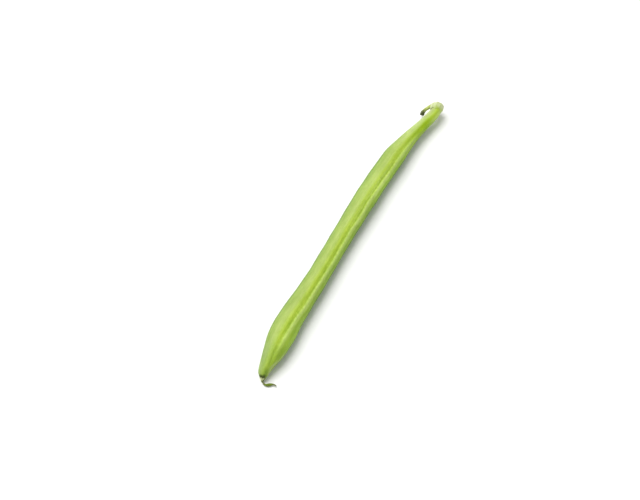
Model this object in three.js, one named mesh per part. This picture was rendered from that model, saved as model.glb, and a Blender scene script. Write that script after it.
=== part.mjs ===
// A fresh green bean (snap bean pod, Phaseolus vulgaris) lying on a flat surface, ventral suture upward.
// It is three organs, each a solid of its own: the pod with its curled beak, the calyx cup round the pod's
// stem end, and the pedicel, the short stalk that hooks back beside the pod's neck.
// Millimetres, +Z up. +X points along the pod to its stem end. The origin is the middle of the bean's
// footprint box, on the surface that the bean lies on.
import * as THREE from 'three';

// ---- Driving dimensions ----

// The pod's stations, from the stem end to the beak's tip. x and y place the axis in plan. lift is the
// clearance of the underside over the surface: below zero the pod is pressed a little flat there. width is
// across the valves and depth is from suture to suture. roll is the lean of the sutures' plane from upright,
// towards -Y, in degrees.
const POD_STATIONS = [
  { x: 79.4, y: 0.5, lift: 2.75, width: 4.1, depth: 4.2, roll: 30 },
  { x: 76.2, y: 0.0, lift: 2.35, width: 4.5, depth: 4.7, roll: 32 },
  { x: 72.5, y: 0.5, lift: 1.95, width: 4.75, depth: 5.1, roll: 34 },
  { x: 68.0, y: 1.55, lift: 1.55, width: 5.1, depth: 5.5, roll: 34 },
  { x: 62.5, y: 2.65, lift: 1.1, width: 5.8, depth: 6.3, roll: 34 },
  { x: 55.0, y: 3.75, lift: 0.55, width: 7.1, depth: 7.5, roll: 33 },
  { x: 45.0, y: 4.5, lift: 0.05, width: 8.9, depth: 9.0, roll: 32 },
  { x: 33.0, y: 4.9, lift: -0.12, width: 9.1, depth: 9.3, roll: 32 },
  { x: 19.0, y: 4.75, lift: 0.1, width: 9.2, depth: 9.4, roll: 32 },
  { x: 4.0, y: 4.5, lift: -0.1, width: 8.8, depth: 9.2, roll: 31 },
  { x: -11.0, y: 4.0, lift: -0.1, width: 8.6, depth: 9.0, roll: 32 },
  { x: -26.0, y: 3.3, lift: 0.12, width: 8.8, depth: 9.0, roll: 31 },
  { x: -40.0, y: 3.2, lift: 0.05, width: 9.6, depth: 9.3, roll: 29 },
  { x: -50.0, y: 3.1, lift: -0.12, width: 10.4, depth: 9.6, roll: 25 },
  { x: -59.0, y: 2.3, lift: -0.06, width: 10.5, depth: 9.4, roll: 19 },
  { x: -66.5, y: 1.5, lift: 0.15, width: 8.6, depth: 8.3, roll: 20 },
  { x: -72.0, y: 1.3, lift: 0.5, width: 6.0, depth: 6.3, roll: 31 },
  { x: -75.1, y: 1.05, lift: 0.6, width: 4.7, depth: 4.7, roll: 46 },
  { x: -76.6, y: 0.65, lift: 0.4, width: 3.9, depth: 3.8, roll: 50 },
  { x: -77.5, y: 0.35, lift: 0.3, width: 2.9, depth: 2.7, roll: 50 },
  { x: -78.1, y: 0.2, lift: 0.3, width: 1.5, depth: 1.5, roll: 50 },
  { x: -78.6, y: -0.1, lift: 0.35, width: 0.9, depth: 0.9, roll: 50 },
  { x: -79.1, y: -0.8, lift: 0.3, width: 0.75, depth: 0.75, roll: 50 },
  { x: -79.35, y: -1.7, lift: 0.25, width: 0.85, depth: 0.85, roll: 50 },
  { x: -79.0, y: -2.6, lift: 0.22, width: 0.9, depth: 0.9, roll: 50 },
  { x: -78.4, y: -3.4, lift: 0.25, width: 0.9, depth: 0.9, roll: 50 },
  { x: -77.85, y: -4.3, lift: 0.4, width: 0.7, depth: 0.7, roll: 50 },
  { x: -77.75, y: -5.05, lift: 0.55, width: 0.5, depth: 0.5, roll: 50 },
  { x: -78.05, y: -6.0, lift: 0.7, width: 0.45, depth: 0.45, roll: 50 },
];

const STEM_END_ROUNDING = 2.0; // length over which the pod's stem end closes
const BEAK_TIP_ROUNDING = 0.4;

// The seeds push the valves out a little, each a hump over its own length of pod.
const SEEDS = { count: 9, first: 34, pitch: 12.6, halfLength: 5.2, hump: 0.16 };

// The groove along the ventral suture: a shallow valley.
const SUTURE = { depth: 0.32, halfAngle: 0.3 };
const SUTURE_STARTS = 14; // distance along the pod from the stem end where the groove is full
const SUTURE_ENDS = 150;

// The calyx: a thin cup with five blunt teeth that clasps the pod. base is how far beyond the pod's end the
// bottom of its hollow stands, and length runs from there to the tips of the teeth.
const CALYX = { outerRadius: 2.9, wall: 0.28, length: 3.4, base: 0.4, teeth: 5, toothLength: 0.7 };

// The pedicel's centre line, from the calyx to its broken end: x, y and z.
const PEDICEL_ROUTE = [
  [80.75, 0.8, 5.0],
  [81.25, 1.15, 4.75],
  [81.35, 1.95, 4.15],
  [80.75, 2.9, 3.5],
  [79.3, 3.85, 3.2],
  [77.7, 4.55, 3.15],
  [76.5, 5.05, 3.0],
  [75.4, 5.35, 2.55],
  [74.2, 5.3, 1.7],
];
const PEDICEL = { base: 0.85, waist: 0.66, knob: 0.88, kneeAt: 0.25, knobAt: 0.88 };

// ---- Mesh density ----
const POD_AROUND = 32;
const CROWDING = 0.2; // how much closer the pod's points stand at the ventral suture
const POD_RINGS = 92;
// The share of the pod's rings that are used up at each distance along it: rings crowd at its two ends.
const RING_SHARES = [
  [0, 0],
  [0.09, 3],
  [0.72, 148],
  [0.83, 157.5],
  [1, null],
];
const CALYX_AROUND = 30;
const PEDICEL_AROUND = 12;
const PEDICEL_RINGS = 30;

// ---- Helpers ----

const UP = new THREE.Vector3(0, 0, 1);

// Half the height of an ellipse of this width and depth that leans by roll.
function supportHeight({ width, depth, roll }) {
  const lean = THREE.MathUtils.degToRad(roll);
  return Math.hypot((depth / 2) * Math.cos(lean), (width / 2) * Math.sin(lean));
}

const catmullRom = (points) => new THREE.CatmullRomCurve3(points, false, 'catmullrom', 0.5);

// Two unit vectors across a curve's tangent: side, level, and up.
function crossAxes(tangent) {
  const side = new THREE.Vector3().crossVectors(UP, tangent).normalize();
  const up = new THREE.Vector3().crossVectors(tangent, side);
  return { side, up };
}

// How far a rounded end of this length has opened at a distance s from its pole, from 0 to 1.
function roundedEnd(s, length) {
  const left = 1 - THREE.MathUtils.clamp(s / length, 0, 1);
  return Math.sqrt(1 - left * left);
}

// Straight-line interpolation in a table of [key, value] rows.
function lookUp(rows, key) {
  const next = Math.max(1, rows.findIndex(([k]) => k >= key));
  const [k0, v0] = rows[next - 1];
  const [k1, v1] = rows[next];
  return v0 + ((v1 - v0) * (key - k0)) / (k1 - k0);
}

// A closed skin round a path: a sphere's vertices are moved to place(along, angle), its poles to the ends.
function skin(around, rings, place) {
  const geometry = new THREE.SphereGeometry(1, around, rings);
  const position = geometry.getAttribute('position');
  const uv = geometry.getAttribute('uv');
  for (let i = 0; i < position.count; i++) {
    const point = place(1 - uv.getY(i), 2 * Math.PI * uv.getX(i));
    position.setXYZ(i, point.x, point.y, point.z);
  }
  geometry.computeVertexNormals();
  return geometry;
}

// ---- Pod ----

const podAxis = catmullRom(POD_STATIONS.map((s) => new THREE.Vector3(s.x, s.y, supportHeight(s) + s.lift)));
const podGirth = catmullRom(POD_STATIONS.map((s) => new THREE.Vector3(s.width, s.depth, s.roll)));
podAxis.arcLengthDivisions = 2000;
const podLength = podAxis.getLength();

// The bulge that the seeds give each valve at a distance s along the pod.
function seedBulge(s) {
  let bulge = 0;
  for (let i = 0; i < SEEDS.count; i++) {
    const away = (s - SEEDS.first - i * SEEDS.pitch) / SEEDS.halfLength;
    bulge += SEEDS.hump * Math.exp(-away * away);
  }
  return bulge;
}

// The depth of the ventral groove at a distance s along the pod and an angle from the suture.
function sutureGroove(s, angle) {
  const fromStem = THREE.MathUtils.smoothstep(s, 3, SUTURE_STARTS);
  const fromBeak = 1 - THREE.MathUtils.smoothstep(s, SUTURE_ENDS, SUTURE_ENDS + 8);
  const turn = Math.atan2(Math.sin(angle), Math.cos(angle)) / SUTURE.halfAngle;
  return SUTURE.depth * fromStem * fromBeak * Math.exp(-turn * turn);
}

function podPoint(along, evenAngle) {
  const shares = RING_SHARES.map(([share, s]) => [share, s ?? podLength]);
  const s = lookUp(shares, along);
  const t = podAxis.getUtoTmapping(s / podLength);
  const centre = podAxis.getPoint(t);
  const { side, up } = crossAxes(podAxis.getTangent(t));
  const girth = podGirth.getPoint(t);
  const angle = evenAngle - CROWDING * Math.sin(evenAngle);
  const closing = roundedEnd(s, STEM_END_ROUNDING) * roundedEnd(podLength - s, BEAK_TIP_ROUNDING);
  const across = (girth.x / 2 + seedBulge(s)) * Math.sin(angle);
  const high = (girth.y / 2 - sutureGroove(s, angle)) * Math.cos(angle);
  const lean = THREE.MathUtils.degToRad(girth.z);
  const level = across * Math.cos(lean) + high * Math.sin(lean);
  const upright = high * Math.cos(lean) - across * Math.sin(lean);
  const point = centre.addScaledVector(side, level * closing).addScaledVector(up, upright * closing);
  point.z = Math.max(point.z, 0); // flat where the pod's weight rests
  return point;
}

// ---- Calyx ----

// A cup turned about +Z, mouth downward, then laid along the pod's stem end.
function calyxGeometry() {
  const { outerRadius, wall, length, base } = CALYX;
  const inner = outerRadius - wall;
  const profile = [
    [0, base],
    [inner * 0.5, base - 0.12],
    [inner * 0.82, base - 0.6],
    [inner, base - 1.5],
    [inner + 0.05, base - length],
    [outerRadius + 0.05, base - length],
    [outerRadius, base - 1.5],
    [outerRadius * 0.9, base - 0.35],
    [outerRadius * 0.62, base + wall],
    [0, base + wall + 0.15],
  ].map(([r, z]) => new THREE.Vector2(r, z));
  const cup = new THREE.LatheGeometry(profile, CALYX_AROUND);
  cup.rotateX(Math.PI / 2); // the lathe turns about +Y
  const position = cup.getAttribute('position');
  const mouth = base - length;
  for (let i = 0; i < position.count; i++) {
    if (position.getZ(i) > mouth + 1e-3) continue;
    const turn = Math.atan2(position.getY(i), position.getX(i));
    const tooth = (1 - Math.cos(CALYX.teeth * turn)) / 2;
    position.setZ(i, mouth + CALYX.toothLength * tooth);
  }
  return cup;
}

function placeCalyx(mesh) {
  const end = podAxis.getPoint(0);
  const inside = podAxis.getPointAt(CALYX.length / podLength);
  const outward = end.clone().sub(inside).normalize();
  mesh.position.copy(end);
  mesh.quaternion.setFromUnitVectors(UP, outward);
}

// ---- Pedicel ----

const pedicelAxis = catmullRom(PEDICEL_ROUTE.map(([x, y, z]) => new THREE.Vector3(x, y, z)));

// Radius along the pedicel: a swollen base, a slim stalk and a knob at the broken end.
function pedicelRadius(along) {
  const { base, waist, knob, kneeAt, knobAt } = PEDICEL;
  const fromBase = 1 - THREE.MathUtils.smoothstep(along, 0, kneeAt);
  const toKnob = THREE.MathUtils.smoothstep(along, knobAt - 0.12, knobAt);
  return waist + (base - waist) * fromBase + (knob - waist) * toKnob;
}

function pedicelPoint(along, angle) {
  const s = along * pedicelAxis.getLength();
  const left = pedicelAxis.getLength() - s;
  const centre = pedicelAxis.getPointAt(along);
  const { side, up } = crossAxes(pedicelAxis.getTangentAt(along));
  const radius = pedicelRadius(along) * roundedEnd(s, 0.25) * roundedEnd(left, 0.5);
  return centre
    .addScaledVector(side, radius * Math.sin(angle))
    .addScaledVector(up, radius * Math.cos(angle));
}

// ---- Assembly ----

const podSkin = new THREE.MeshStandardMaterial({ color: 0x9cbf4a, roughness: 0.45, metalness: 0 });
const calyxSkin = new THREE.MeshStandardMaterial({ color: 0xb9c888, roughness: 0.6, metalness: 0 });
const stalkSkin = new THREE.MeshStandardMaterial({ color: 0xa3b063, roughness: 0.6, metalness: 0 });

function named(name, geometry, material) {
  const mesh = new THREE.Mesh(geometry, material);
  mesh.name = name;
  return mesh;
}

const pod = named('pod', skin(POD_AROUND, POD_RINGS, podPoint), podSkin);
const calyx = named('calyx', calyxGeometry(), calyxSkin);
placeCalyx(calyx);
const pedicel = named('pedicel', skin(PEDICEL_AROUND, PEDICEL_RINGS, pedicelPoint), stalkSkin);

const bean = new THREE.Group();
bean.add(pod, calyx, pedicel);

// The bean is moved so that the origin is the middle of its footprint box.
bean.updateMatrixWorld(true);
const middle = new THREE.Box3().setFromObject(bean, true).getCenter(new THREE.Vector3());
bean.position.set(-middle.x, -middle.y, 0);

const part = new THREE.Group();
part.add(bean);
export default part;
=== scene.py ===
"""A fresh green bean lying on a white table: the looks of the pod, its calyx and its pedicel.

Lengths are in millimetres until a mesh is made, then in metres. +X points along the pod to its stem end
and +Z is up. A pod point is known by its distance along the pod from the stem end and by its turn round the
axis from the ventral suture, positive towards -Y.
"""

import bpy
import numpy as np
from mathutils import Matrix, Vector


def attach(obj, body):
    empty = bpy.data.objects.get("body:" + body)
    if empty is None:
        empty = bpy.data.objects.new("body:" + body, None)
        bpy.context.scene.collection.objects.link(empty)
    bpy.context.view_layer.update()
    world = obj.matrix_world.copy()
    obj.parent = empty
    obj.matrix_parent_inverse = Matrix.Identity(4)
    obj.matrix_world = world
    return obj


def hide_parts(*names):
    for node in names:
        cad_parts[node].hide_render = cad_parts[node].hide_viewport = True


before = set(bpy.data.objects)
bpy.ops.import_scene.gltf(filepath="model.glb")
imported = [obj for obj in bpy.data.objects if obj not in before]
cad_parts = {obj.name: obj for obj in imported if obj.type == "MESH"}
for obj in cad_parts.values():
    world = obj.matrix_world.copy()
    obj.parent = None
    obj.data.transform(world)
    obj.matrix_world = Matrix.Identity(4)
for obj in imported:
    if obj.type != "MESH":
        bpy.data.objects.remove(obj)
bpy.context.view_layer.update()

MM = 0.001
UP = np.array([0.0, 0.0, 1.0])

# ---- Dimensions, as in the solid model ----

# From the stem end to the beak's tip: x and y of the axis, lift of the underside over the table, width
# across the valves, depth from suture to suture, and the lean of the sutures' plane towards -Y in degrees.
POD_STATIONS = np.array([
    (79.4, 0.5, 2.75, 4.1, 4.2, 30),
    (76.2, 0.0, 2.35, 4.5, 4.7, 32),
    (72.5, 0.5, 1.95, 4.75, 5.1, 34),
    (68.0, 1.55, 1.55, 5.1, 5.5, 34),
    (62.5, 2.65, 1.1, 5.8, 6.3, 34),
    (55.0, 3.75, 0.55, 7.1, 7.5, 33),
    (45.0, 4.5, 0.05, 8.9, 9.0, 32),
    (33.0, 4.9, -0.12, 9.1, 9.3, 32),
    (19.0, 4.75, 0.1, 9.2, 9.4, 32),
    (4.0, 4.5, -0.1, 8.8, 9.2, 31),
    (-11.0, 4.0, -0.1, 8.6, 9.0, 32),
    (-26.0, 3.3, 0.12, 8.8, 9.0, 31),
    (-40.0, 3.2, 0.05, 9.6, 9.3, 29),
    (-50.0, 3.1, -0.12, 10.4, 9.6, 25),
    (-59.0, 2.3, -0.06, 10.5, 9.4, 19),
    (-66.5, 1.5, 0.15, 8.6, 8.3, 20),
    (-72.0, 1.3, 0.5, 6.0, 6.3, 31),
    (-75.1, 1.05, 0.6, 4.7, 4.7, 46),
    (-76.6, 0.65, 0.4, 3.9, 3.8, 50),
    (-77.5, 0.35, 0.3, 2.9, 2.7, 50),
    (-78.1, 0.2, 0.3, 1.5, 1.5, 50),
    (-78.6, -0.1, 0.35, 0.9, 0.9, 50),
    (-79.1, -0.8, 0.3, 0.75, 0.75, 50),
    (-79.35, -1.7, 0.25, 0.85, 0.85, 50),
    (-79.0, -2.6, 0.22, 0.9, 0.9, 50),
    (-78.4, -3.4, 0.25, 0.9, 0.9, 50),
    (-77.85, -4.3, 0.4, 0.7, 0.7, 50),
    (-77.75, -5.05, 0.55, 0.5, 0.5, 50),
    (-78.05, -6.0, 0.7, 0.45, 0.45, 50),
])
TO_FRAME = np.array([-1.1904, -1.7896, 0.0])  # from the stations' origin to the middle of the footprint
STEM_END_ROUNDING = 2.0
BEAK_TIP_ROUNDING = 0.4
SEED_FIRST, SEED_PITCH, SEED_COUNT = 34, 12.6, 9
SEED_HALF_LENGTH, SEED_HUMP = 5.2, 0.16

CALYX_RADIUS, CALYX_LENGTH, CALYX_BASE = 2.9, 3.4, 0.4
CALYX_TEETH, TOOTH_LENGTH = 5, 0.7

PEDICEL_ROUTE = np.array([
    (80.75, 0.8, 5.0),
    (81.25, 1.15, 4.75),
    (81.35, 1.95, 4.15),
    (80.75, 2.9, 3.5),
    (79.3, 3.85, 3.2),
    (77.7, 4.55, 3.15),
    (76.5, 5.05, 3.0),
    (75.4, 5.35, 2.55),
    (74.2, 5.3, 1.7),
])
PEDICEL_BASE = 0.85

# ---- Relief and fine shapes, which differ from the solid model's ----

# A change's pair is where it starts and where it is complete. A bell's pair is its middle and its half
# width. A bend, or a change of width, is how much, its middle and its half length. A layer of lumps is its
# height, its pitch along the piece, how many there are about the axis, and its seed.
GROOVE_STARTS, GROOVE_ENDS = (3, 14), (150, 158)
GROOVE_DEPTH, GROOVE_BELL = 0.22, (0, 0.65)
WANDER_MEAN, WANDER_LUMPS = 0.1, [(0.25, 9, 1, 3)]
WANDER_BENDS = [(0.4, 42, 11), (0.25, 122, 6)]
LIP_RISE, LIP_BELL = 0.13, (1.25, 0.6)
LIP_LINE_CUT, LIP_LINE_BELL, LIP_LINE_BELL_ALONG = 0.06, (1.5, 0.2), (60, 35)
LIP_LINE_MEAN, LIP_LINE_LUMPS = 0.6, [(0.4, 5, 1, 4)]
FACE_DIP, FACE_DIP_BELL = 0.2, (-3.3, 1.9)
FAR_RIDGE, FAR_RIDGE_BELL = 0.02, (-6.3, 1.2)
SWELLS_START, SWELLS_END = (6, 30), (150, 160)
POD_LUMPS = [(0.06, 14, 6, 11), (0.03, 5, 14, 12), (0.012, 1.4, 40, 13)]
INSET = 0.05  # keeps the swells inside the solid model's box
NECK_RIDGES, NECK_RIDGE_HEIGHT, NECK_RIDGE_TURN = 7, 0.05, 0.6
NECK_RIDGES_START, NECK_RIDGES_END = (1, 4), (8, 26)
TAIL_WIDTH_CHANGES = [(-0.12, 157.8, 0.8), (-0.2, 160.1, 0.6), (-0.1, 161.3, 0.5), (0.25, 162.8, 0.9)]

CALYX_SKEW, CALYX_SKEW_TURN = 0.6, 0.3  # a fuller shoulder on the side away from the pedicel
CALYX_TOP = CALYX_BASE + 0.43
TOOTH_SHARPNESS, TOOTH_REACH = 1.3, 1.1  # the reach is how far up from the mouth they have an effect
CALYX_OUTSIDE = (0.4, 0.55)  # shares of the section's length where its hollow ends and its outside begins
CALYX_RIB_HEIGHT, CALYX_RIB_SHARPNESS, CALYX_RIB_RADII = 0.05, 3, (0.8, 1.8)
SHOULDER_DROP, SHOULDER_RADII = 1.4, (0.9, 2.2)
CALYX_LUMPS = [(0.05, 1.0, 16, 21), (0.02, 0.4, 44, 22)]

PEDICEL_ROOT = (80.05, 0.6, 5.12)  # just under the calyx's top, so that the two meet
PEDICEL_LEAD = 0.7  # from the root to about where the solid model's pedicel starts
PEDICEL_WAIST, PEDICEL_KNOB = 0.72, 0.92
PEDICEL_NARROWS, PEDICEL_WIDENS = (0, 0.25), (0.76, 0.88)  # shares of the rest of its length
PEDICEL_ROUNDINGS = (0.2, 0.5)  # at its root and at its broken end
COLLAR_SWELL, COLLAR_ENDS = 0.12, (0.2, 1.1)
HOOK_TRIM, HOOK_BELL = 0.15, (2.2, 0.8)  # keeps the hook inside the solid model's box
STALK_RIDGES = [(0.035, 6, 0.5), (0.02, 11, 2.0)]  # height, how many round the stalk, and turn
STALK_LUMPS = [(0.03, 0.9, 9, 31), (0.015, 0.3, 22, 32)]
KNOB_LUMPS = [(0.07, 0.35, 14, 33), (0.05, 0.6, 8, 34)]
STALK_SKIN_RADIUS = 0.7  # of the straight stalk on which its streaks are laid out

# ---- How fine the meshes are ----

# Runs of rings along the pod, each from, to and how many. The tail and its tip follow them.
POD_RING_RUNS = [(0, 0.1, 3), (0.1, 2.2, 14), (2.2, 150, 560), (150, 159, 46)]
TAIL_STARTS, TAIL_RINGS, TIP_RINGS = 159, 50, 6
POD_COLUMNS, SUTURE_CROWDING = 136, 0.35  # the columns crowd towards the ventral suture
CALYX_RINGS, CALYX_COLUMNS = 120, 150
STALK_RINGS, STALK_COLUMNS = 260, 72
CURVE_SAMPLES, CURVE_NUDGE = 2001, 1e-4  # for a curve's length and for its direction


# ---- Curves and noise ----

def smoothstep(x, low, high):
    t = np.clip((x - low) / (high - low), 0, 1)
    return t * t * (3 - 2 * t)


def bell(x, centre, half):
    return np.exp(-(((x - centre) / half) ** 2))


def unit(v):
    return v / np.linalg.norm(v, axis=-1, keepdims=True)


class Spline:
    """A uniform Catmull-Rom curve through points of any dimension, with distance along it."""

    def __init__(self, points):
        ends = 2 * points[[0, -1]] - points[[1, -2]]
        self.points = np.vstack([ends[:1], points, ends[1:]])
        self.spans = len(points) - 1
        self.grid = np.linspace(0, 1, CURVE_SAMPLES)
        steps = np.linalg.norm(np.diff(self.at(self.grid), axis=0), axis=1)
        self.reached = np.concatenate([[0], np.cumsum(steps)])
        self.length = self.reached[-1]

    def at(self, t):
        place = np.clip(t, 0, 1) * self.spans
        first = np.minimum(place.astype(int), self.spans - 1)
        w = (place - first)[..., None]
        before, start, end, after = (self.points[first + k] for k in range(4))
        leave, arrive = (end - before) / 2, (after - start) / 2
        bend = 3 * (end - start) - 2 * leave - arrive
        twist = 2 * (start - end) + leave + arrive
        return start + w * (leave + w * (bend + w * twist))

    def ends(self):
        return [self.at(np.array(0.0)), self.at(np.array(1.0))]

    def parameter(self, distance):
        return np.interp(distance, self.reached, self.grid)

    def tangent(self, t):
        return unit(self.at(t + CURVE_NUDGE) - self.at(t - CURVE_NUDGE))


def cross_axes(tangent):
    side = unit(np.cross(UP, tangent))
    return side, np.cross(tangent, side)


def around(centre, side, up, level, upright):
    """Points at these distances from the centre, sideways and upwards across a curve."""
    return centre + side * level[..., None] + up * upright[..., None]


def rounded_end(distance, length):
    left = 1 - np.clip(distance / length, 0, 1)
    return np.sqrt(1 - left * left)


def even_turns(count):
    return np.linspace(-np.pi, np.pi, count, endpoint=False)[None, :]


def lump_layer(along, turn, pitch, about, seed):
    """Smooth random relief from -1 to 1, with a draw every pitch along and this many about the axis."""
    rows = int(np.max(along) / pitch) + 3
    draws = np.random.default_rng(seed).uniform(-1, 1, (rows, about))
    row, column = along / pitch, np.mod(turn / (2 * np.pi), 1) * about
    r, c = np.floor(row).astype(int), np.floor(column).astype(int)
    fr, fc = smoothstep(row - r, 0, 1), smoothstep(column - c, 0, 1)
    c, d = c % about, (c + 1) % about
    near = draws[r, c] * (1 - fc) + draws[r, d] * fc
    far = draws[r + 1, c] * (1 - fc) + draws[r + 1, d] * fc
    return near * (1 - fr) + far * fr


def lumps(layers, along, turn):
    return sum(height * lump_layer(along, turn, *layer) for height, *layer in layers)


# ---- Meshes ----

def closed_skin(name, points, poles, fields, lie, node, material):
    """A closed piece from rings of points and its two poles. fields are attributes of the rings' points,
    each with its values at the poles. lie is a corner map that doesn't wrap, so it has one column more."""
    rings, columns = points.shape[:2]
    vertices = np.concatenate([points.reshape(-1, 3), np.array(poles)]) + TO_FRAME
    index = np.arange(rings * columns).reshape(rings, columns)
    index = np.hstack([index, index[:, :1]])
    lie_index = np.arange(rings * (columns + 1)).reshape(rings, columns + 1)

    def quads(table):
        corners = [table[:-1, :-1], table[1:, :-1], table[1:, 1:], table[:-1, 1:]]
        return np.stack(corners, -1).reshape(-1, 4)

    def caps(table, first, last):
        start = np.stack([table[0, :-1], table[0, 1:], np.full(columns, first)][::-1], -1)
        end = np.stack([table[-1, :-1], table[-1, 1:], np.full(columns, last)], -1)
        return start, end

    first_pole, last_pole = rings * columns, rings * columns + 1
    start, end = caps(index, first_pole, last_pole)
    faces = start.tolist() + quads(index).tolist() + end.tolist()
    mesh = bpy.data.meshes.new(name)
    mesh.from_pydata((vertices * MM).tolist(), [], faces)

    flat_lie = np.vstack([lie.reshape(-1, 2), lie[0, :-1].mean(0), lie[-1, :-1].mean(0)])
    lie_start, lie_end = caps(lie_index, len(flat_lie) - 2, len(flat_lie) - 1)
    order = np.concatenate([lie_start.ravel(), quads(lie_index).ravel(), lie_end.ravel()])
    mesh.uv_layers.new(name="lie").data.foreach_set("uv", flat_lie[order].ravel())
    for key, (values, at_poles) in fields.items():
        vector = values.ndim == 3
        attribute = mesh.attributes.new(key, "FLOAT_VECTOR" if vector else "FLOAT", "POINT")
        at_poles = np.atleast_2d(at_poles).reshape(2, -1)
        filled = np.concatenate([values.reshape(rings * columns, -1), at_poles])
        attribute.data.foreach_set("vector" if vector else "value", filled.astype(np.float32).ravel())
    mesh.polygons.foreach_set("use_smooth", np.ones(len(faces), bool))
    mesh.materials.append(material)
    mesh.update()
    piece = bpy.data.objects.new(name, mesh)
    bpy.context.scene.collection.objects.link(piece)
    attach(piece, "root")
    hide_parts(node)


def corner_map(along, turn, radius, shift=0):
    """The lie of a skin: millimetres along it and round it, with one column more than the rings have."""
    columns = np.append(turn[0], np.pi)
    return np.stack([along + 0 * columns, columns * radius - shift + 0 * along], -1)


def grain_field(along, turn, radius):
    """Where noise is read: the piece straightened out, so that its streaks follow it."""
    across, high = radius * np.sin(turn), radius * np.cos(turn)
    return np.stack([along + 0 * across, across + 0 * along, high + 0 * along], -1)


# ---- Materials ----

def srgb(red, green, blue):
    """A colour given as it looks on screen, 0 to 255, as the linear colour that a shader takes."""
    parts = [v / 255 for v in (red, green, blue)]
    return tuple(v / 12.92 if v <= 0.04045 else ((v + 0.055) / 1.055) ** 2.4 for v in parts) + (1.0,)


class Shader:
    """A material's node tree. Each method adds a node and returns its output."""

    def __init__(self, name, **values):
        self.material = bpy.data.materials.new(name)
        self.material.use_nodes = True
        self.tree = self.material.node_tree
        self.surface = self.tree.nodes["Principled BSDF"]
        for key, value in values.items():
            self.surface.inputs[key.replace("_", " ")].default_value = value

    def add(self, kind, inputs, output=0, **settings):
        made = self.tree.nodes.new(kind)
        for key, value in settings.items():
            setattr(made, key, value)
        for key, value in inputs.items():
            if isinstance(value, bpy.types.NodeSocket):
                self.tree.links.new(value, made.inputs[key])
            else:
                made.inputs[key].default_value = value
        return made.outputs[output]

    def field(self, name, output="Fac"):
        return self.add("ShaderNodeAttribute", {}, output, attribute_name=name)

    def lie(self, axis):
        """Millimetres along the piece for axis 0, and round it for axis 1."""
        where = self.add("ShaderNodeUVMap", {}, uv_map="lie")
        return self.add("ShaderNodeSeparateXYZ", {0: where}, axis)

    def noise(self, vector, share, scale, detail, roughness, distortion=0.0):
        """Noise from 0 to 1. Only this share of the vector's x counts, so a small share draws it out."""
        drawn = self.add("ShaderNodeVectorMath", {0: vector, 1: (share, 1.0, 1.0)}, operation="MULTIPLY")
        inputs = {"Vector": drawn, "Scale": scale, "Detail": detail, "Roughness": roughness,
                  "Distortion": distortion}
        return self.add("ShaderNodeTexNoise", inputs)

    def math(self, operation, first, second=0.0):
        return self.add("ShaderNodeMath", {0: first, 1: second}, operation=operation)

    def plus(self, first, second):
        return self.math("ADD", first, second)

    def times(self, first, *others):
        for other in others:
            first = self.math("MULTIPLY", first, other)
        return first

    def wobbled(self, value, noise, swing):
        """The value with a noise from 0 to 1 added, so that it moves by up to half the swing either way."""
        return self.plus(value, self.times(self.math("SUBTRACT", noise, 0.5), swing))

    def step(self, value, low, high, to_low=0.0, to_high=1.0):
        inputs = {"Value": value, "From Min": low, "From Max": high, "To Min": to_low, "To Max": to_high}
        return self.add("ShaderNodeMapRange", inputs, interpolation_type="SMOOTHSTEP")

    def fade(self, value, low, high, left=0.0):
        """Full up to low, and only this much left from high on."""
        return self.step(value, low, high, 1.0, left)

    def band(self, value, centre, half, strength=1.0):
        """At this strength at the centre and gone at half away from it."""
        away = self.math("ABSOLUTE", self.math("SUBTRACT", value, centre))
        return self.step(away, 0.0, half, strength, 0.0)

    def blend(self, share, first, second, mode="MIX"):
        inputs = {0: share, 6: first, 7: second}
        return self.add("ShaderNodeMix", inputs, 2, data_type="RGBA", blend_type=mode)

    def tint(self, share, colour, by):
        return self.blend(share, colour, by, "MULTIPLY")

    def ramp(self, value, stops):
        """A colour between the stops, which are in order and each a value and the colour there."""
        low, high = stops[0][0], stops[-1][0]
        share = self.add("ShaderNodeMapRange", {"Value": value, "From Min": low, "From Max": high})
        colour = self.add("ShaderNodeValToRGB", {0: share})
        elements = colour.node.color_ramp.elements
        for _ in stops[2:]:
            elements.new(0.5)
        for element, (at, shade) in zip(elements, stops):
            element.position = (at - low) / (high - low)
            element.color = shade
        colour.node.color_ramp.interpolation = "EASE"
        return colour

    def bump(self, height, distance, strength, normal=None):
        inputs = {"Height": height, "Distance": distance * MM, "Strength": strength}
        if normal is not None:
            inputs["Normal"] = normal
        return self.add("ShaderNodeBump", inputs)

    def connect(self, **sockets):
        for key, value in sockets.items():
            self.tree.links.new(value, self.surface.inputs[key.replace("_", " ")])


# ---- The pod's skin ----

# Its colours from the underside, up the broad face, over the groove and its lip, and down the other flank.
# Towards both far edges and low on the flank they darken: partly the skin's own deeper green and partly
# painted shade. The neck is paler and brighter than the body, and the beak duller.
SKIN = srgb(112, 150, 30)
# darker at the far edge: deep green skin and painted shade
SKIN_DEEP_AND_SHADE = srgb(106, 136, 38)
FACE_EDGE = srgb(146, 169, 80)
FACE = srgb(163, 182, 92)
GROOVE = srgb(168, 193, 58)
LIP = srgb(181, 205, 100)
FLANK_TOP = srgb(142, 174, 38)
# darker low on the flank: deep green skin and painted shade
FLANK_GREEN_AND_SHADE = srgb(102, 145, 14)
SWOLLEN_FLANK = srgb(152, 186, 50)
NECK_PALE = srgb(177, 193, 118)
NECK_BRIGHT = srgb(149, 180, 16)
STEM_SIDE = srgb(160, 178, 102)
STEM_PALE = srgb(179, 188, 126)
BEAK_FACE = srgb(142, 164, 90)
BEAK_TOP = srgb(154, 180, 60)

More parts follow.
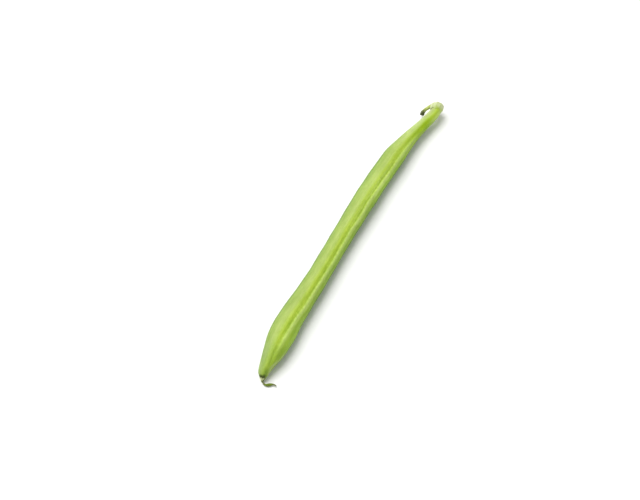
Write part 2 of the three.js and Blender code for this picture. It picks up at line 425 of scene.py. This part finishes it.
# Where they lie: millimetres from the ventral suture.
BODY_ACROSS = [
    (-12.0, SKIN),
    (-7.2, SKIN_DEEP_AND_SHADE),
    (-5.2, FACE_EDGE),
    (-2.8, FACE),
    (-0.35, GROOVE),
    (1.3, LIP),
    (3.0, FLANK_TOP),
    (5.2, FLANK_GREEN_AND_SHADE),
    (12.0, SKIN),
]
NECK_ACROSS = [(-7.0, FACE_EDGE), (-2.6, NECK_PALE), (-0.3, NECK_BRIGHT), (2.6, FLANK_TOP), (6.0, FLANK_GREEN_AND_SHADE)]
STEM_ACROSS = [(-6.0, STEM_SIDE), (-2.8, STEM_PALE), (0.0, GROOVE), (1.8, LIP), (3.2, FLANK_TOP)]
BEAK_ACROSS = [(-8.0, SKIN_DEEP_AND_SHADE), (-4.0, BEAK_FACE), (-0.9, BEAK_TOP), (4.0, FLANK_TOP), (8.0, SKIN)]

# The marks' colours.
SUTURE_SOFT = srgb(178, 202, 96)
# the suture's own darker line, with painted shade in the groove
GROOVE_LINE_AND_SHADE = srgb(132, 161, 30)
# painted highlight along the lip
LIP_PAINTED_HIGHLIGHT = srgb(208, 224, 142)
# painted light: a pale rim low on the flank near the beak, for light thrown up from the table
PAINTED_RIM_LIGHT = srgb(164, 178, 122)
DORSAL_PALE = srgb(168, 192, 84)
DORSAL_LINE = srgb(130, 152, 50)
SPECK = srgb(196, 208, 140)
# painted shade before the beak's end
BEAK_PAINTED_SHADE = srgb(108, 138, 42)
# the scar's own dark colour and painted shade under the bending tip
SCAR_AND_SHADE = srgb(58, 76, 16)
SCAR_DRY_AND_SHADE = srgb(80, 90, 36)
# pale skin and a painted highlight under the scar
UNDER_SCAR_PALE_AND_HIGHLIGHT = srgb(190, 196, 146)
TAIL = srgb(104, 124, 30)
TAIL_DRY = srgb(110, 116, 68)

# Tints that multiply the colour under them: a painted highlight on a stretch of the pod, a painted
# highlight and a painted shade on stretches of its flank, the beads along the suture, and the streaks.
SUNNY = (1.12, 1.1, 1.18, 1.0)
FLANK_LIT = (1.1, 1.15, 1.1, 1.0)
FLANK_DIM = (0.88, 0.95, 0.72, 1.0)
BEAD_DARK = (0.81, 0.87, 0.64, 1.0)
BEAD_LIGHT = (1.13, 1.1, 1.24, 1.0)
STREAK_DARK = (0.86, 0.9, 0.8, 1.0)
STREAK_LIGHT = (1.06, 1.05, 1.1, 1.0)

# Bands across the pod: the middle, from the suture that it follows, the half width, and the strength in the
# middle.
SOFT_BAND = (-0.3, 1.1, 0.45)
GROOVE_BAND = (0.22, 0.42, 0.75)
LIP_BAND = (1.15, 0.7, 0.28)
LIP_LINE_BAND = (1.5, 0.28, 0.3)
BEADED_BAND = (0.35, 1.8, 0.9)
ROUGH_BAND = (0.1, 1.3, 0.1)
SWOLLEN_BAND = (4.4, 3.6, 0.95)
# the flank's painted highlight and painted shade
LIT_BAND, DIM_BAND = (3.0, 1.9, 1.0), (2.2, 2.4, 1.0)
BEAK_SHADE_BAND = (-0.6, 2.0, 0.8)
DORSAL_BAND, DORSAL_LINE_BAND = (0.0, 0.9, 0.5), (0.0, 0.25, 0.6)
RIM_MIDDLES, RIM_HALF_WIDTH, RIM_STRENGTH = (5.2, 1.1), 1.3, 0.6  # it closes in on the suture
# Edges across the pod: from where to where a mark fades out, and what is left of it.
SCAR_SHADE_EDGE, SCAR_SHADE_LEFT, SCAR_SHADE_EDGE_SHIFT = (-1.2, -0.1), 0.12, -0.6
UNDER_SCAR_EDGE, UNDER_SCAR_LEFT = (-0.7, -0.1), 0.1

# Stretches along the pod: where a change starts and where it is complete.
STEM_ENDS, NECK_ENDS = (5, 13), (13, 31)
SUTURE_STARTS, SUTURE_ENDS = (24, 40), (140, 150)
SOFT_STARTS, SOFT_ENDS = (36, 46), (60, 90)
LIP_STARTS, LIP_BEFORE = (40, 54), 0.25  # and how strong the lip's painted highlight is before that
SWELLING_STARTS, SWELLING_SHARE = (118, 138), 0.9  # colours are read at this share of their distance across
BEAK_STARTS = (139, 149)
RIM_STARTS, RIM_CLOSES = (143, 148), (146, 155)
BEAK_SHADE_STARTS, SCAR_SHADE_STARTS, SCAR_SHADE_SHIFTS = (153.5, 156.2), (156.7, 157.5), (157.3, 158.0)
UNDER_SCAR_STARTS = (157.85, 158.35)
TAIL_DRIES, TAIL_GREENS, TAIL_TIP = (159.1, 159.5), (160.9, 161.5), (164.5, 165.3)
# Stretches again, each as its middle and half its length.
# the pod's painted highlight, and the flank's painted highlight and painted shade
SUNNY_STRETCH, LIT_STRETCH, DIM_STRETCH = (54.0, 16.0), (44.0, 24.0), (95.0, 20.0)

# Noise: the share of the length along the pod that counts, which draws it out, its scale per millimetre, its
# detail, its roughness and its distortion.
STREAK_NOISE = (0.05, 1.1, 5, 0.6)
FINE_STREAK_NOISE = (0.12, 4.5, 4, 0.6)
MOTTLE_NOISE = (0.5, 0.35, 4, 0.6, 0.4)
SPECK_NOISE = (0.6, 3.2, 2, 0.5)
BEAD_NOISE = (0.7, 1.1, 3, 0.5)
PORE_NOISE = (1.0, 7.0, 3, 0.6)
SUTURE_WOBBLE, SCAR_SHADE_WOBBLE = 0.5, 1.2  # how far the mottle and the streaks move the edges of the marks
# What the noise does: the values between which it takes effect and, unless it is none and all, how much at
# both of them.
STREAK_TONES, STREAK_SHARE = (0.35, 0.68), 0.7
FINE_STREAK_TONES, FINE_STREAK_SHARE = (0.4, 0.7), 0.6
SPECK_TONES = (0.64, 0.74, 0.0, 0.3)
LINE_BREAKS = (0.38, 0.6, 0.65, 1.0)
BEAD_DARK_FROM, BEAD_LIGHT_TO = (0.5, 0.66), (0.34, 0.5)
SCAR_SHADE_TONES = (0.4, 0.65)
POD_ROUGHNESS = (0.3, 0.7, 0.4, 0.52)
# Bumps: how deep in millimetres, and how strong.
STREAK_BUMP, FINE_STREAK_BUMP, PORE_BUMP = (0.25, 0.35), (0.09, 0.5), (0.03, 0.5)
CALYX_BUMP, STALK_BUMP = (0.12, 0.6), (0.2, 0.7)


def pod_regions(s, along, seam, dorsal):
    """The pod's colour by place alone, each region laid over the body's, with painted light and shade among
    them.
    """
    share = s.step(along, *SWELLING_STARTS, 1.0, SWELLING_SHARE)
    colour = s.ramp(s.times(seam, share), BODY_ACROSS)
    soft = s.times(s.band(seam, *SOFT_BAND), s.fade(along, *SOFT_ENDS), s.step(along, *SOFT_STARTS))
    colour = s.blend(soft, colour, SUTURE_SOFT)
    colour = s.blend(s.fade(along, *NECK_ENDS), colour, s.ramp(seam, NECK_ACROSS))
    colour = s.blend(s.fade(along, *STEM_ENDS), colour, s.ramp(seam, STEM_ACROSS))
    swollen = s.times(s.band(seam, *SWOLLEN_BAND), s.step(along, *SWELLING_STARTS))
    colour = s.blend(swollen, colour, SWOLLEN_FLANK)
    colour = s.blend(s.step(along, *BEAK_STARTS), colour, s.ramp(seam, BEAK_ACROSS))
    # painted light from the table, low on the flank near the beak and closing in on the suture
    rim = s.band(seam, s.step(along, *RIM_CLOSES, *RIM_MIDDLES), RIM_HALF_WIDTH, RIM_STRENGTH)
    colour = s.blend(s.times(rim, s.step(along, *RIM_STARTS)), colour, PAINTED_RIM_LIGHT)
    colour = s.blend(s.band(dorsal, *DORSAL_BAND), colour, DORSAL_PALE)
    colour = s.blend(s.band(dorsal, *DORSAL_LINE_BAND), colour, DORSAL_LINE)
    # Painted light and shade: a painted highlight near the stem end, and on the flank a painted highlight
    # there and painted shade past the middle.
    colour = s.tint(s.band(along, *SUNNY_STRETCH), colour, SUNNY)
    colour = s.tint(s.times(s.band(seam, *LIT_BAND), s.band(along, *LIT_STRETCH)), colour, FLANK_LIT)
    return s.tint(s.times(s.band(seam, *DIM_BAND), s.band(along, *DIM_STRETCH)), colour, FLANK_DIM)


def streaked(s, colour, noise, tones, share):
    return s.tint(share, colour, s.blend(s.step(noise, *tones), STREAK_LIGHT, STREAK_DARK))


def suture_marks(s, colour, along, seam, mottle, beads):
    """The broken dark line in the groove, partly the suture's own line and partly painted shade, a painted
    highlight on its lip, and the beads on both.
    """
    in_body = s.times(s.step(along, *SUTURE_STARTS), s.fade(along, *SUTURE_ENDS))
    broken = s.times(in_body, s.step(mottle, *LINE_BREAKS))
    beaded = s.times(s.band(seam, *BEADED_BAND), in_body)
    # a dark line in the groove: the suture's own line and painted shade
    colour = s.blend(s.times(s.band(seam, *GROOVE_BAND), broken), colour, GROOVE_LINE_AND_SHADE)
    # a painted highlight along the lip, broken like the line
    lip = s.times(s.band(seam, *LIP_BAND), broken, s.step(along, *LIP_STARTS, LIP_BEFORE, 1.0))
    colour = s.blend(lip, colour, LIP_PAINTED_HIGHLIGHT)
    colour = s.blend(s.times(s.band(seam, *LIP_LINE_BAND), broken), colour, GROOVE)
    colour = s.tint(s.times(beaded, s.step(beads, *BEAD_DARK_FROM)), colour, BEAD_DARK)
    return s.tint(s.times(beaded, s.fade(beads, *BEAD_LIGHT_TO)), colour, BEAD_LIGHT)


def beak_marks(s, colour, along, seam, streaks, fine_streaks, specks):
    """Painted shade before the beak's end; the scar at the beak, partly its own dark colour and partly
    painted shade; the pale spot under it, partly pale skin and partly a painted highlight; and the tail,
    which is green between its dry ends.
    """
    ragged = s.wobbled(along, streaks, SCAR_SHADE_WOBBLE)
    # painted shade on the skin just before the beak's end
    beak_shade = s.times(s.step(ragged, *BEAK_SHADE_STARTS), s.band(seam, *BEAK_SHADE_BAND))
    colour = s.blend(beak_shade, colour, BEAK_PAINTED_SHADE)
    shifted = s.plus(seam, s.step(ragged, *SCAR_SHADE_SHIFTS, 0.0, SCAR_SHADE_EDGE_SHIFT))
    # the scar: its own dark colour with painted shade over it
    scar_and_shade = s.times(s.step(ragged, *SCAR_SHADE_STARTS), s.fade(shifted, *SCAR_SHADE_EDGE, SCAR_SHADE_LEFT))
    colour = s.blend(scar_and_shade, colour, s.blend(s.step(fine_streaks, *SCAR_SHADE_TONES), SCAR_AND_SHADE, SCAR_DRY_AND_SHADE))
    # the pale spot: pale skin and a painted highlight
    pale_and_highlight = s.times(s.step(ragged, *UNDER_SCAR_STARTS), s.fade(seam, *UNDER_SCAR_EDGE, UNDER_SCAR_LEFT))
    colour = s.blend(pale_and_highlight, colour, UNDER_SCAR_PALE_AND_HIGHLIGHT)
    colour = s.blend(s.step(along, *TAIL_DRIES), colour, TAIL_DRY)
    colour = s.blend(s.step(along, *TAIL_GREENS), colour, TAIL)
    return s.blend(s.step(s.plus(along, specks), *TAIL_TIP), colour, TAIL_DRY)


def pod_skin():
    s = Shader("pod_skin", Specular_IOR_Level=0.2, Subsurface_Weight=0.15, Subsurface_Scale=1.2 * MM,
               Subsurface_Radius=(0.7, 1.0, 0.25))
    grain = s.field("grain", "Vector")
    streaks = s.noise(grain, *STREAK_NOISE)
    fine_streaks = s.noise(grain, *FINE_STREAK_NOISE)
    mottle = s.noise(grain, *MOTTLE_NOISE)
    specks = s.noise(grain, *SPECK_NOISE)
    beads = s.noise(grain, *BEAD_NOISE)
    pores = s.noise(grain, *PORE_NOISE)
    along = s.lie(0)
    seam = s.wobbled(s.lie(1), mottle, SUTURE_WOBBLE)

    colour = pod_regions(s, along, seam, s.field("dorsal"))
    colour = streaked(s, colour, streaks, STREAK_TONES, STREAK_SHARE)
    colour = streaked(s, colour, mottle, STREAK_TONES, STREAK_SHARE)
    colour = streaked(s, colour, fine_streaks, FINE_STREAK_TONES, FINE_STREAK_SHARE)
    colour = s.blend(s.step(specks, *SPECK_TONES), colour, SPECK)
    colour = suture_marks(s, colour, along, seam, mottle, beads)
    colour = beak_marks(s, colour, along, seam, streaks, fine_streaks, specks)

    rough = s.plus(s.step(fine_streaks, *POD_ROUGHNESS), s.band(seam, *ROUGH_BAND))
    normal = s.bump(streaks, *STREAK_BUMP)
    normal = s.bump(fine_streaks, *FINE_STREAK_BUMP, normal)
    normal = s.bump(pores, *PORE_BUMP, normal)
    s.connect(Base_Color=colour, Roughness=rough, Normal=normal)
    return s.material


# ---- The calyx's and the pedicel's skins ----

CALYX_UNDER = srgb(164, 178, 104)
CALYX_SIDE = srgb(178, 198, 104)
CALYX_GREEN = srgb(165, 188, 68)
CALYX_FACE = srgb(178, 189, 138)
CALYX_PALE = srgb(198, 206, 157)
CALYX_VEIN = srgb(160, 178, 84)
CALYX_BROWN = srgb(132, 124, 84)
# Where they lie: millimetres round its outside from the top, positive on the pedicel's side.
CALYX_AROUND = [
    (-9.1, CALYX_UNDER),
    (-2.6, CALYX_SIDE),
    (-1.2, CALYX_GREEN),
    (1.8, CALYX_FACE),
    (9.1, CALYX_UNDER),
]
CALYX_WOBBLE = 1.6  # how far its mottle moves them
# From where to where, in millimetres down from its top, and how much of the colour there is at both.
CALYX_END = (2.3, 3.9, 0.85, 0.0)
CALYX_VEINS_START = (0.4, 2.0, 0.35, 1.0)
CALYX_RIM, CALYX_RIM_RAGGED = (4.0, 4.5, 0.0, 0.6), 0.8  # and how far the mottle moves the rim's edge
CALYX_DRY_BAND = (0.6, 0.6, 0.55)  # its middle, half width and strength
# Noise, and what it does, as for the pod.
CALYX_MOTTLE_NOISE = (1.0, 0.9, 4, 0.6)
CALYX_FINE_NOISE = (0.4, 5.0, 3, 0.6)
CALYX_VEIN_RIBS = (0.2, 1.0, 0.0, 0.4)
CALYX_FIBRES = (0.5, 0.8, 0.0, 0.3)
CALYX_DRY_SPOTS = (0.52, 0.64)
CALYX_ROUGHNESS = (0.3, 0.7, 0.5, 0.65)

STALK = srgb(186, 196, 112)
STALK_DEEP = srgb(146, 160, 72)
KNOB = srgb(62, 70, 22)
KNOB_FIBRE = srgb(120, 112, 66)
KNOB_DARKENS, KNOB_FRAYS = (8.6, 11.2), (9.5, 10.5)  # millimetres along it
KNOB_RAGGED = 2.0  # how far the mottle moves its edge
STALK_STREAK_NOISE, STALK_MOTTLE_NOISE = (0.15, 2.4, 4, 0.6), (1.0, 1.1, 4, 0.6)
STALK_TONES, STALK_FIBRES, STALK_ROUGHNESS = (0.35, 0.7), (0.55, 0.75), (0.3, 0.7, 0.5, 0.7)


def calyx_skin():
    s = Shader("calyx_skin", Specular_IOR_Level=0.3, Subsurface_Weight=0.15, Subsurface_Scale=1.0 * MM,
               Subsurface_Radius=(0.8, 1.0, 0.4), Sheen_Weight=0.1)
    down, rib = s.field("along"), s.field("rib")
    grain = s.field("grain", "Vector")
    mottle = s.noise(grain, *CALYX_MOTTLE_NOISE)
    fine = s.noise(grain, *CALYX_FINE_NOISE)
    colour = s.ramp(s.wobbled(s.lie(1), mottle, CALYX_WOBBLE), CALYX_AROUND)
    colour = s.blend(s.step(s.plus(down, mottle), *CALYX_END), colour, CALYX_PALE)
    veins = s.times(s.step(rib, *CALYX_VEIN_RIBS), s.step(down, *CALYX_VEINS_START))
    colour = s.blend(veins, colour, CALYX_VEIN)
    colour = s.blend(s.step(fine, *CALYX_FIBRES), colour, CALYX_VEIN)
    dry = s.times(s.step(mottle, *CALYX_DRY_SPOTS), s.band(down, *CALYX_DRY_BAND))
    colour = s.blend(dry, colour, CALYX_BROWN)
    rim = s.plus(down, s.times(mottle, CALYX_RIM_RAGGED))
    colour = s.blend(s.step(rim, *CALYX_RIM), colour, CALYX_BROWN)
    rough = s.step(fine, *CALYX_ROUGHNESS)
    s.connect(Base_Color=colour, Roughness=rough, Normal=s.bump(fine, *CALYX_BUMP))
    return s.material


def stalk_skin():
    s = Shader("stalk_skin", Specular_IOR_Level=0.4, Subsurface_Weight=0.08, Subsurface_Scale=0.8 * MM,
               Subsurface_Radius=(0.8, 1.0, 0.4), Sheen_Weight=0.1)
    along = s.field("along")
    grain = s.field("grain", "Vector")
    streaks = s.noise(grain, *STALK_STREAK_NOISE)
    mottle = s.noise(grain, *STALK_MOTTLE_NOISE)
    colour = s.blend(s.step(streaks, *STALK_TONES), STALK, STALK_DEEP)
    dark = s.plus(along, s.times(mottle, KNOB_RAGGED))
    colour = s.blend(s.step(dark, *KNOB_DARKENS), colour, KNOB)
    fibre = s.times(s.step(streaks, *STALK_FIBRES), s.step(along, *KNOB_FRAYS))
    colour = s.blend(fibre, colour, KNOB_FIBRE)
    rough = s.step(mottle, *STALK_ROUGHNESS)
    s.connect(Base_Color=colour, Roughness=rough, Normal=s.bump(streaks, *STALK_BUMP))
    return s.material


# ---- Pod ----

def pod_curves():
    """The pod's axis, and its width, depth and lean as a second curve with the same parameter."""
    x, y, lift, width, depth, roll = POD_STATIONS.T
    lean = np.radians(roll)
    support = np.hypot(depth / 2 * np.cos(lean), width / 2 * np.sin(lean))
    return Spline(np.stack([x, y, support + lift], -1)), Spline(np.stack([width, depth, roll], -1))


pod_axis, pod_girth = pod_curves()


def pod_rings():
    """How far along the pod its rings of points are, closest together at both ends."""
    length = pod_axis.length
    tip = length - BEAK_TIP_ROUNDING
    runs = POD_RING_RUNS + [(TAIL_STARTS, tip, TAIL_RINGS), (tip, length, TIP_RINGS)]
    rings = [np.linspace(start, end, count, endpoint=False) for start, end, count in runs]
    return np.concatenate(rings)[1:, None]


def suture_wander(s):
    wander = WANDER_MEAN + lumps(WANDER_LUMPS, s, 0 * s)
    for shift, place, half in WANDER_BENDS:
        wander = wander + shift * bell(s, place, half)
    return wander


def seed_bulge(s):
    centres = SEED_FIRST + SEED_PITCH * np.arange(SEED_COUNT)
    return SEED_HUMP * sum(bell(s, c, SEED_HALF_LENGTH) for c in centres)


def in_groove(s):
    return smoothstep(s, *GROOVE_STARTS) * (1 - smoothstep(s, *GROOVE_ENDS))


def pod_relief(s, turn, from_suture):
    line_cut = LIP_LINE_CUT * bell(s, *LIP_LINE_BELL_ALONG)
    line_cut = line_cut * (LIP_LINE_MEAN + lumps(LIP_LINE_LUMPS, s, 0 * s))
    relief = LIP_RISE * bell(from_suture, *LIP_BELL) - line_cut * bell(from_suture, *LIP_LINE_BELL)
    relief = relief - FACE_DIP * bell(from_suture, *FACE_DIP_BELL)
    relief = relief + FAR_RIDGE * bell(from_suture, *FAR_RIDGE_BELL)
    body = smoothstep(s, *SWELLS_START) * (1 - smoothstep(s, *SWELLS_END))
    swells = lumps(POD_LUMPS, s, turn) - INSET
    neck = (1 - smoothstep(s, *NECK_RIDGES_END)) * smoothstep(s, *NECK_RIDGES_START)
    ridges = NECK_RIDGE_HEIGHT * np.cos(NECK_RIDGES * turn + NECK_RIDGE_TURN)
    return relief * in_groove(s) + body * swells + ridges * neck


def pod_closing(s):
    """How much of the pod's section is left towards its two ends, and along its tail."""
    length = pod_axis.length
    blade = sum((change * bell(s, place, half) for change, place, half in TAIL_WIDTH_CHANGES), 1)
    return blade * rounded_end(s, STEM_END_ROUNDING) * rounded_end(length - s, BEAK_TIP_ROUNDING)


def make_pod(material):
    s = pod_rings()
    even = even_turns(POD_COLUMNS)
    turn = even - SUTURE_CROWDING * np.sin(even)
    t = pod_axis.parameter(s)
    width, depth, roll = np.moveaxis(pod_girth.at(t), -1, 0)
    lean = np.radians(roll)
    mean_radius = (width + depth) / 4
    wander = suture_wander(s)
    from_suture = turn * mean_radius - wander

    relief = pod_relief(s, turn, from_suture)
    groove = GROOVE_DEPTH * in_groove(s) * bell(from_suture, *GROOVE_BELL)
    across = (width / 2 + seed_bulge(s) + relief) * np.sin(turn)
    high = (depth / 2 - groove + relief) * np.cos(turn)
    level = across * np.cos(lean) + high * np.sin(lean)
    upright = high * np.cos(lean) - across * np.sin(lean)
    closing = pod_closing(s)
    axes = cross_axes(pod_axis.tangent(t))
    points = around(pod_axis.at(t), *axes, level * closing, upright * closing)
    points[..., 2] = np.maximum(points[..., 2], 0)

    dorsal = (np.pi - np.abs(turn)) * mean_radius
    far_from_dorsal = 6
    fields = {
        "grain": (grain_field(s, turn, mean_radius), [(0, 0, 0), (pod_axis.length, 0, 0)]),
        "dorsal": (dorsal, [far_from_dorsal, far_from_dorsal]),
    }
    lie = corner_map(s, turn, mean_radius, wander)
    closed_skin("pod_skin_piece", points, pod_axis.ends(), fields, lie, "pod", material)


# ---- Calyx ----

def calyx_profile():
    """The cup's section from the middle of its hollow, round its mouth, to the middle of its top, as radius
    and height over the pod's end."""
    outer, base = CALYX_RADIUS, CALYX_BASE
    mouth = base - CALYX_LENGTH
    return Spline(np.array([
        (0.25, base),
        (outer * 0.45, base - 0.12),
        (outer * 0.7, base - 0.7),
        (outer * 0.78, base - 1.7),
        (outer * 0.8, mouth + 0.5),
        (outer * 0.81, mouth + 0.05),
        (outer * 0.82, mouth),
        (outer * 0.835, mouth + 0.12),
        (outer * 0.88, mouth + 0.8),
        (outer * 0.96, base - 1.5),
        (outer * 0.985, base - 0.8),
        (outer * 0.92, base - 0.22),
        (outer * 0.73, base + 0.18),
        (outer * 0.42, base + 0.37),
        (0.3, base + 0.42),
    ]))


def make_calyx(material):
    end = pod_axis.at(np.array(0.0))
    inside = pod_axis.at(pod_axis.parameter(np.array(CALYX_LENGTH)))
    outward = unit(end - inside)
    profile = calyx_profile()
    reach = np.linspace(0, profile.length, CALYX_RINGS)[:, None]
    turn = even_turns(CALYX_COLUMNS)
    radius, height = np.moveaxis(profile.at(profile.parameter(reach)), -1, 0)

    at_rim = bell(height, CALYX_BASE - CALYX_LENGTH, TOOTH_REACH)
    tooth = (1 - np.cos(CALYX_TEETH * turn)) / 2
    is_outer = smoothstep(reach / profile.length, *CALYX_OUTSIDE)
    rib = ((1 + np.cos(2 * CALYX_TEETH * turn)) / 2) ** CALYX_RIB_SHARPNESS
    rib = rib * is_outer * smoothstep(radius, *CALYX_RIB_RADII)
    radius = radius + CALYX_RIB_HEIGHT * rib + is_outer * lumps(CALYX_LUMPS, reach, turn)
    height = height + TOOTH_LENGTH * tooth ** TOOTH_SHARPNESS * at_rim
    at_top = smoothstep(height, CALYX_BASE - SHOULDER_DROP, CALYX_BASE)
    shoulder = is_outer * at_top * smoothstep(radius, *SHOULDER_RADII)
    height = height + CALYX_SKEW * shoulder * np.clip(-np.sin(turn - CALYX_SKEW_TURN), 0, 1)
    points = around(end, *cross_axes(outward), radius * np.sin(turn), radius * np.cos(turn))
    points = points + outward * height[..., None]

    poles = [end + outward * CALYX_BASE, end + outward * CALYX_TOP]
    down = CALYX_TOP - height
    fields = {
        "grain": (grain_field(down, turn, radius), [(0, 0, 0), (0, 0, 0)]),
        "along": (down, [0, 0]),
        "rib": (rib, [0, 0]),
    }
    lie = corner_map(reach, turn, CALYX_RADIUS)
    closed_skin("calyx_cup", points, poles, fields, lie, "calyx", material)


# ---- Pedicel ----

def stalk_radius(s, length):
    """The stalk's radius without its ridges, and how much of its broken end there is."""
    share = (s - PEDICEL_LEAD) / (length - PEDICEL_LEAD)
    from_base = 1 - smoothstep(share, *PEDICEL_NARROWS)
    to_knob = smoothstep(share, *PEDICEL_WIDENS)
    radius = PEDICEL_WAIST + (PEDICEL_BASE - PEDICEL_WAIST) * from_base
    radius = radius + (PEDICEL_KNOB - PEDICEL_WAIST) * to_knob
    radius = radius + COLLAR_SWELL * (1 - smoothstep(s, *COLLAR_ENDS)) - HOOK_TRIM * bell(s, *HOOK_BELL)
    return radius, to_knob


def make_pedicel(material):
    route = Spline(np.vstack([[PEDICEL_ROOT], PEDICEL_ROUTE]))
    s = np.linspace(0, route.length, STALK_RINGS + 2)[1:-1][:, None]
    turn = even_turns(STALK_COLUMNS)
    t = route.parameter(s)
    radius, to_knob = stalk_radius(s, route.length)
    ridges = sum(height * np.cos(count * turn + start) for height, count, start in STALK_RIDGES)
    torn = to_knob * lumps(KNOB_LUMPS, s, turn)
    radius = radius + ridges + lumps(STALK_LUMPS, s, turn) + torn
    at_root, at_end = PEDICEL_ROUNDINGS
    radius = radius * rounded_end(s, at_root) * rounded_end(route.length - s, at_end)
    axes = cross_axes(route.tangent(t))
    points = around(route.at(t), *axes, radius * np.sin(turn), radius * np.cos(turn))
    fields = {
        "grain": (grain_field(s, turn, STALK_SKIN_RADIUS), [(0, 0, 0), (route.length, 0, 0)]),
        "along": (s + 0 * turn, [0, route.length]),
    }
    lie = corner_map(s, turn, STALK_SKIN_RADIUS)
    closed_skin("pedicel_stalk", points, route.ends(), fields, lie, "pedicel", material)


make_pod(pod_skin())
make_calyx(calyx_skin())
make_pedicel(stalk_skin())


# ---- Table, light and camera ----

# In metres and watts, but the camera's place, aim, lens and sensor are in millimetres.
TABLE_RADIUS, TABLE_CORNERS = 0.75, 96
TABLE_WHITES = [(0.9, 0.9, 0.895, 1), (0.93, 0.93, 0.925, 1)]
TABLE_NOISE = (1.0, 60.0, 3, 0.5)
WALL_STRENGTH, CEILING_STRENGTH = 1.0, 0.45
CEILING_STARTS = (0.1, 0.45)  # on a scale from 0 at the horizon to 1 overhead
KEY_TOWARDS, KEY_DISTANCE, KEY_SIZE, KEY_POWER = (0.11, 0.44, 0.892), 1.4, 1.5, 24
CAMERA_PLACE, CAMERA_AIM = (-501.69, -248.4, 709.2), (-10.93, 8.81, 0.0)
CAMERA_LENS, CAMERA_SENSOR = 123.5, 36


def table():
    s = Shader("table_white", Specular_IOR_Level=0.2, Roughness=0.8)
    where = s.add("ShaderNodeTexCoord", {}, "Object")
    s.connect(Base_Color=s.blend(s.noise(where, *TABLE_NOISE), *TABLE_WHITES))
    turns = np.linspace(0, 2 * np.pi, TABLE_CORNERS, endpoint=False)
    rim = np.stack([np.cos(turns), np.sin(turns), 0 * turns], -1) * TABLE_RADIUS
    mesh = bpy.data.meshes.new("table_top")
    mesh.from_pydata(rim.tolist(), [], [range(TABLE_CORNERS)])
    mesh.materials.append(s.material)
    top = bpy.data.objects.new("table_top", mesh)
    bpy.context.scene.collection.objects.link(top)


def white_room():
    """White walls all round that darken overhead."""
    world = bpy.data.worlds.new("studio")
    bpy.context.scene.world = world
    world.use_nodes = True
    tree = world.node_tree
    where = tree.nodes.new("ShaderNodeTexCoord")
    parts = tree.nodes.new("ShaderNodeSeparateXYZ")
    tree.links.new(where.outputs["Generated"], parts.inputs[0])
    rise = tree.nodes.new("ShaderNodeMapRange")
    rise.interpolation_type = "SMOOTHSTEP"
    tree.links.new(parts.outputs["Z"], rise.inputs["Value"])
    low, high = CEILING_STARTS
    settings = {"From Min": low, "From Max": high, "To Min": WALL_STRENGTH, "To Max": CEILING_STRENGTH}
    for key, value in settings.items():
        rise.inputs[key].default_value = value
    back = tree.nodes["Background"]
    tree.links.new(rise.outputs[0], back.inputs["Strength"])
    back.inputs["Color"].default_value = (1, 1, 1, 1)


def key_light():
    data = bpy.data.lights.new("key", "AREA")
    data.shape = "DISK"
    data.size = KEY_SIZE
    data.energy = KEY_POWER
    lamp = bpy.data.objects.new("key", data)
    direction = Vector(KEY_TOWARDS).normalized()
    lamp.location = direction * KEY_DISTANCE
    lamp.rotation_euler = direction.to_track_quat("Z", "Y").to_euler()
    bpy.context.scene.collection.objects.link(lamp)


def camera():
    data = bpy.data.cameras.new("camera")
    data.lens = CAMERA_LENS
    data.sensor_width = CAMERA_SENSOR
    eye = bpy.data.objects.new("camera", data)
    place, aim = Vector(CAMERA_PLACE) * MM, Vector(CAMERA_AIM) * MM
    eye.location = place
    eye.rotation_euler = (place - aim).to_track_quat("Z", "Y").to_euler()
    bpy.context.scene.collection.objects.link(eye)
    bpy.context.scene.camera = eye


table()
white_room()
key_light()
camera()
bpy.context.scene.view_settings.view_transform = "Standard"
